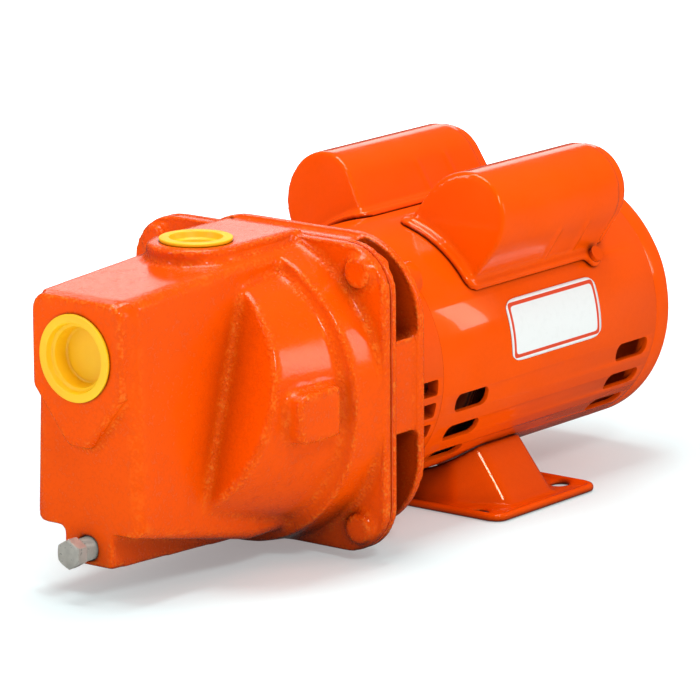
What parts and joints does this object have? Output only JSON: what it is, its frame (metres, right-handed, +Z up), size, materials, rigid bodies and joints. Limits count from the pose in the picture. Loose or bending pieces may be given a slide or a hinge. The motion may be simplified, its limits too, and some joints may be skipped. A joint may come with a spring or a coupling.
{
  "type": "shallow well jet pump",
  "caption": "Horizontal jet pump: blocky cast casing with plugged suction and discharge ports, bolted through an open adapter to a round electric motor on a pressed foot.",
  "frame": {"origin": "centre of the foot's rectangle of four bolt slots, on the surface that the pump stands on", "axes": "+X along the shaft from the suction face to the rear of the motor, +Z up, so the run capacitor is on the -Y side"},
  "size_m": [0.468, 0.1732, 0.1911],
  "materials": {
    "casing_paint": "glossy orange enamel over rough sand casting",
    "motor_paint": "smooth glossy orange enamel",
    "alloy_paint": "smooth glossy orange enamel over a die casting",
    "cap_plastic": "satin moulded yellow",
    "zinc": "dull zinc plate",
    "steel": "machined",
    "core_steel": "stacked laminations",
    "core_alloy": "cast",
    "copper": "varnished winding wire",
    "jet_plastic": "moulded",
    "seal_rubber": "matt",
    "gasket_fibre": "matt",
    "seal_ceramic": "lapped",
    "can_plastic": "moulded",
    "board_plastic": "moulded",
    "badge_enamel": "printed foil"
  },
  "bodies": {
    "pump": {"pump_casing": "casing_paint", "motor_adapter": "casing_paint", "motor_shell": "motor_paint", "front_end_shield": "alloy_paint", "rear_end_shield": "alloy_paint", "rear_cover": "motor_paint", "foot_base": "motor_paint", "start_capacitor_cover": "motor_paint", "run_capacitor_cover": "motor_paint", "casing_bolts": "motor_paint", "adapter_bolts": "motor_paint", "cover_screws": "motor_paint", "rear_cover_screws": "motor_paint", "drain_plug": "zinc", "through_bolts": "zinc", "casing_gasket": "gasket_fibre", "nozzle": "jet_plastic", "venturi_tube": "jet_plastic", "venturi_o_ring": "seal_rubber", "diffuser": "jet_plastic", "seal_seat": "seal_ceramic", "front_bearing_outer_ring": "steel", "rear_bearing_outer_ring": "steel", "wave_washer": "steel", "stator_core": "core_steel", "stator_windings": "copper", "start_switch": "board_plastic", "terminal_board": "board_plastic", "overload_protector": "board_plastic", "start_capacitor": "can_plastic", "run_capacitor": "can_plastic", "start_capacitor_clip": "steel", "run_capacitor_clip": "steel", "cord_bushing": "seal_rubber", "badge": "badge_enamel"},
    "rotor": {"shaft": "steel", "rotor_core": "core_steel", "rotor_end_rings": "core_alloy", "front_bearing_inner_ring": "steel", "rear_bearing_inner_ring": "steel", "front_bearing_balls": "steel", "rear_bearing_balls": "steel", "impeller": "jet_plastic", "seal_head": "seal_rubber", "seal_spring": "steel", "slinger": "seal_rubber", "governor": "steel"},
    "governor_collar": {"governor_collar": "board_plastic"},
    "suction_cap": {"suction_cap": "cap_plastic"},
    "discharge_cap": {"discharge_cap": "cap_plastic"}
  },
  "joints": [
    {"name": "rotor_spin", "type": "hinge", "parent": "pump", "child": "rotor", "pos_m": [0, 0, 0.0889], "axis": [1, 0, 0], "continuous": true},
    {"name": "governor_slide", "type": "slide", "parent": "rotor", "child": "governor_collar", "axis": [-1, 0, 0], "range_m": [0, 0.003]},
    {"name": "suction_cap_pull", "type": "slide", "parent": "pump", "child": "suction_cap", "axis": [-1, 0, 0], "range_m": [0, 0.08]},
    {"name": "discharge_cap_pull", "type": "slide", "parent": "pump", "child": "discharge_cap", "axis": [0, 0, 1], "range_m": [0, 0.08]}
  ]
}
